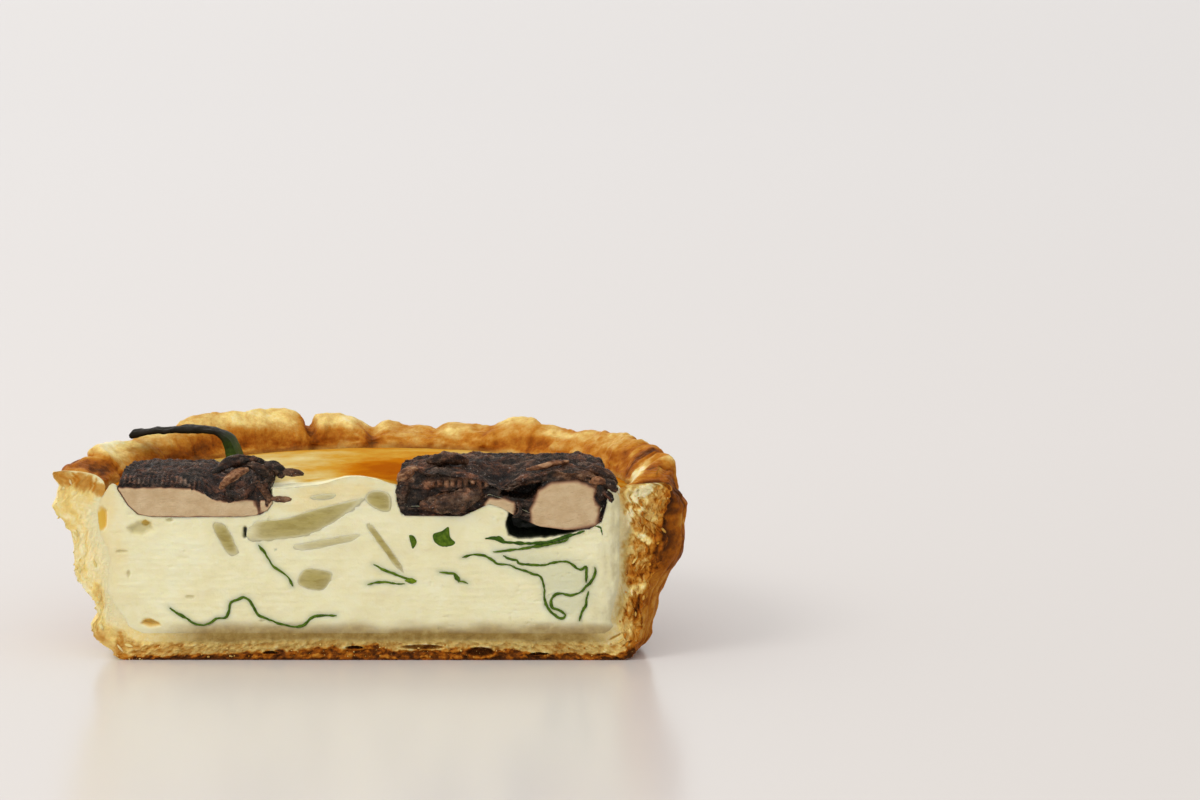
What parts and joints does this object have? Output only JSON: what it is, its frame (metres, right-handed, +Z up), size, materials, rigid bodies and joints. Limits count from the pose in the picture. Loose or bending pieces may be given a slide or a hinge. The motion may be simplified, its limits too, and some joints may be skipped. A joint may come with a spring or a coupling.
{
  "type": "quiche half",
  "caption": "Half of a small round spinach and mushroom quiche, cut across to show custard, mushroom, onion and spinach in a fluted pastry crust.",
  "frame": {"origin": "on the resting surface, under the middle of the whole", "axes": "+Z up, +X along the cut face to its right end, and the cut face looks along -Y"},
  "size_m": [0.1198, 0.0672, 0.0404],
  "materials": {
    "crust": "golden to brown baked pastry, matt, flaky at the cut, pale and soft where it meets the filling",
    "custard": "pale cream egg custard, moist and softly glossy at the cut, browned skin on top",
    "mushroom": "dark brown wrinkled gills with a wet gloss, pinkish beige flesh where cut",
    "spinach": "dark green cooked leaf, moist",
    "onion": "translucent straw-coloured cooked onion, moist"
  },
  "bodies": {
    "root": {"crust": "crust", "custard": "custard", "mushroom_left": "mushroom", "mushroom_right": "mushroom", "leaf_top": "spinach", "spinach_long": "spinach", "spinach_diagonal": "spinach", "spinach_fork_upper": "spinach", "spinach_fork_lower": "spinach", "spinach_hook": "spinach", "spinach_cluster_1": "spinach", "spinach_cluster_2": "spinach", "spinach_cluster_3": "spinach", "spinach_cluster_4": "spinach", "spinach_cluster_5": "spinach", "spinach_fold": "spinach", "spinach_dot": "spinach", "onion_band": "onion", "onion_crescent": "onion", "onion_rod_left": "onion", "onion_wedge": "onion", "onion_rod_right": "onion", "onion_block": "onion", "onion_sliver": "onion"}
  },
  "joints": []
}
